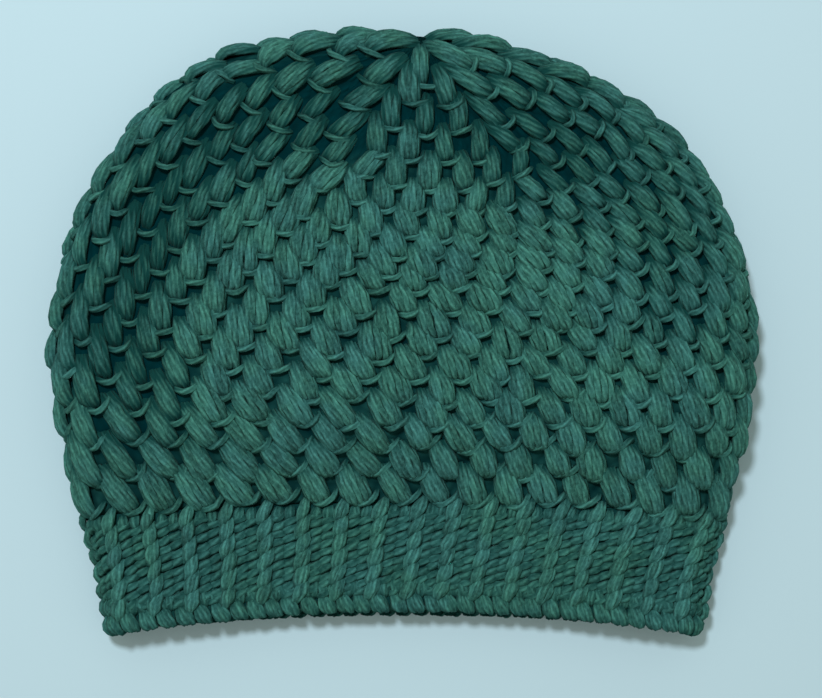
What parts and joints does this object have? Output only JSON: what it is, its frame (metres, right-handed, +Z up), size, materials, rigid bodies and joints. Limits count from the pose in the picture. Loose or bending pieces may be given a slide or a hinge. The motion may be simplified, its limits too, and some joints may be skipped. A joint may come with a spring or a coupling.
{
  "type": "slouchy beanie",
  "caption": "Slouchy crocheted beanie with a puff-stitch crown, ribbed band and scalloped edging, lying flat and hollow, open at the brim.",
  "frame": {"origin": "bottom centre of the hat as it lies flat on its lower face", "axes": "+X across the brim, +Y from the brim to the crown's centre, +Z up off the surface that the hat lies on"},
  "size_m": [0.2668, 0.2296, 0.0336],
  "materials": {
    "yarn": "matte teal-green cotton yarn, crocheted"
  },
  "bodies": {
    "root": {"crown": "yarn", "band": "yarn", "edging": "yarn"}
  },
  "joints": []
}
